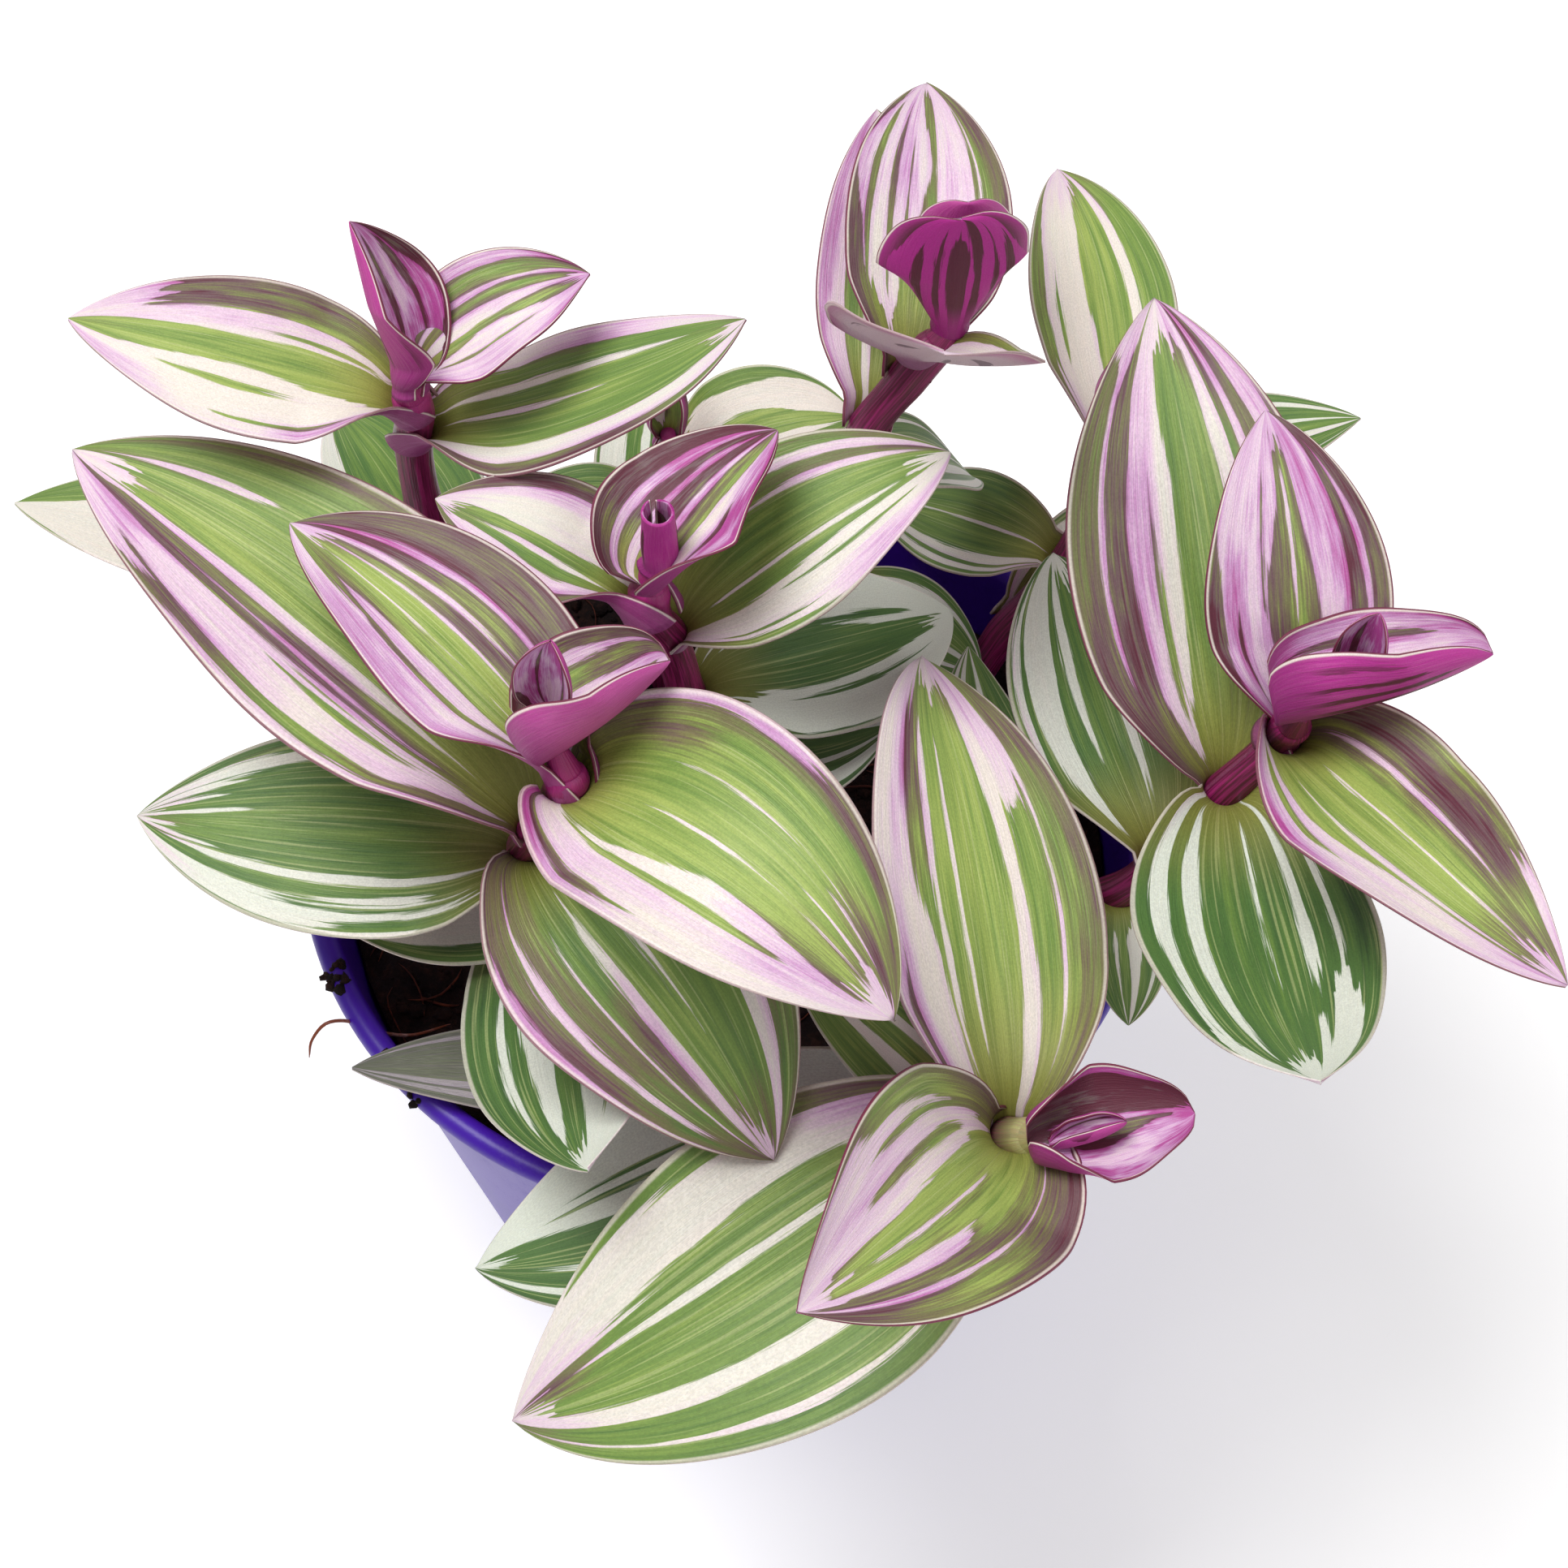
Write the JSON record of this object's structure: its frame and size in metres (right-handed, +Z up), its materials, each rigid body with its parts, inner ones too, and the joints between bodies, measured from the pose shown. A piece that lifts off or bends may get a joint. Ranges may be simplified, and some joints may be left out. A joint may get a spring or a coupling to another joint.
{
  "type": "potted tradescantia",
  "caption": "Potted tradescantia: leafy stems with pointed leaves striped green, cream and pink, magenta young shoots, soil and a plain tapered violet-blue plastic pot.",
  "frame": {"origin": "middle of the pot's flat underside, on the surface the pot stands on", "axes": "+Z up along the pot's axis; +X to the right and -Y towards the viewer of the picture, which looks down at the plant from the front"},
  "size_m": [0.1984, 0.1871, 0.1945],
  "materials": {
    "pot": "smooth violet-blue plastic with a soft gloss",
    "soil": "damp near-black potting soil with brown fibres and crumbs",
    "leafy_stem": "fleshy satin leaves striped green, cream and lilac pink, magenta below, on dark purple stems",
    "young_shoot": "fleshy satin furled leaves, magenta outside, pink with maroon stripes inside",
    "dried_leaf": "matt grey-lilac drying leaf with a pale lower side"
  },
  "bodies": {
    "root": {"pot": "pot", "soil": "soil", "leafy_stem_a": "leafy_stem", "leafy_stem_b": "leafy_stem", "leafy_stem_c": "leafy_stem", "leafy_stem_d": "leafy_stem", "leafy_stem_e": "leafy_stem", "leafy_stem_f": "leafy_stem", "leafy_stem_g": "leafy_stem", "leafy_stem_h": "leafy_stem", "young_shoot_a": "young_shoot", "young_shoot_b": "young_shoot", "young_shoot_c": "young_shoot", "young_shoot_d": "young_shoot", "young_shoot_e": "young_shoot", "young_shoot_f": "young_shoot", "young_shoot_g": "young_shoot", "young_shoot_h": "young_shoot", "fallen_leaf": "dried_leaf"}
  },
  "joints": []
}
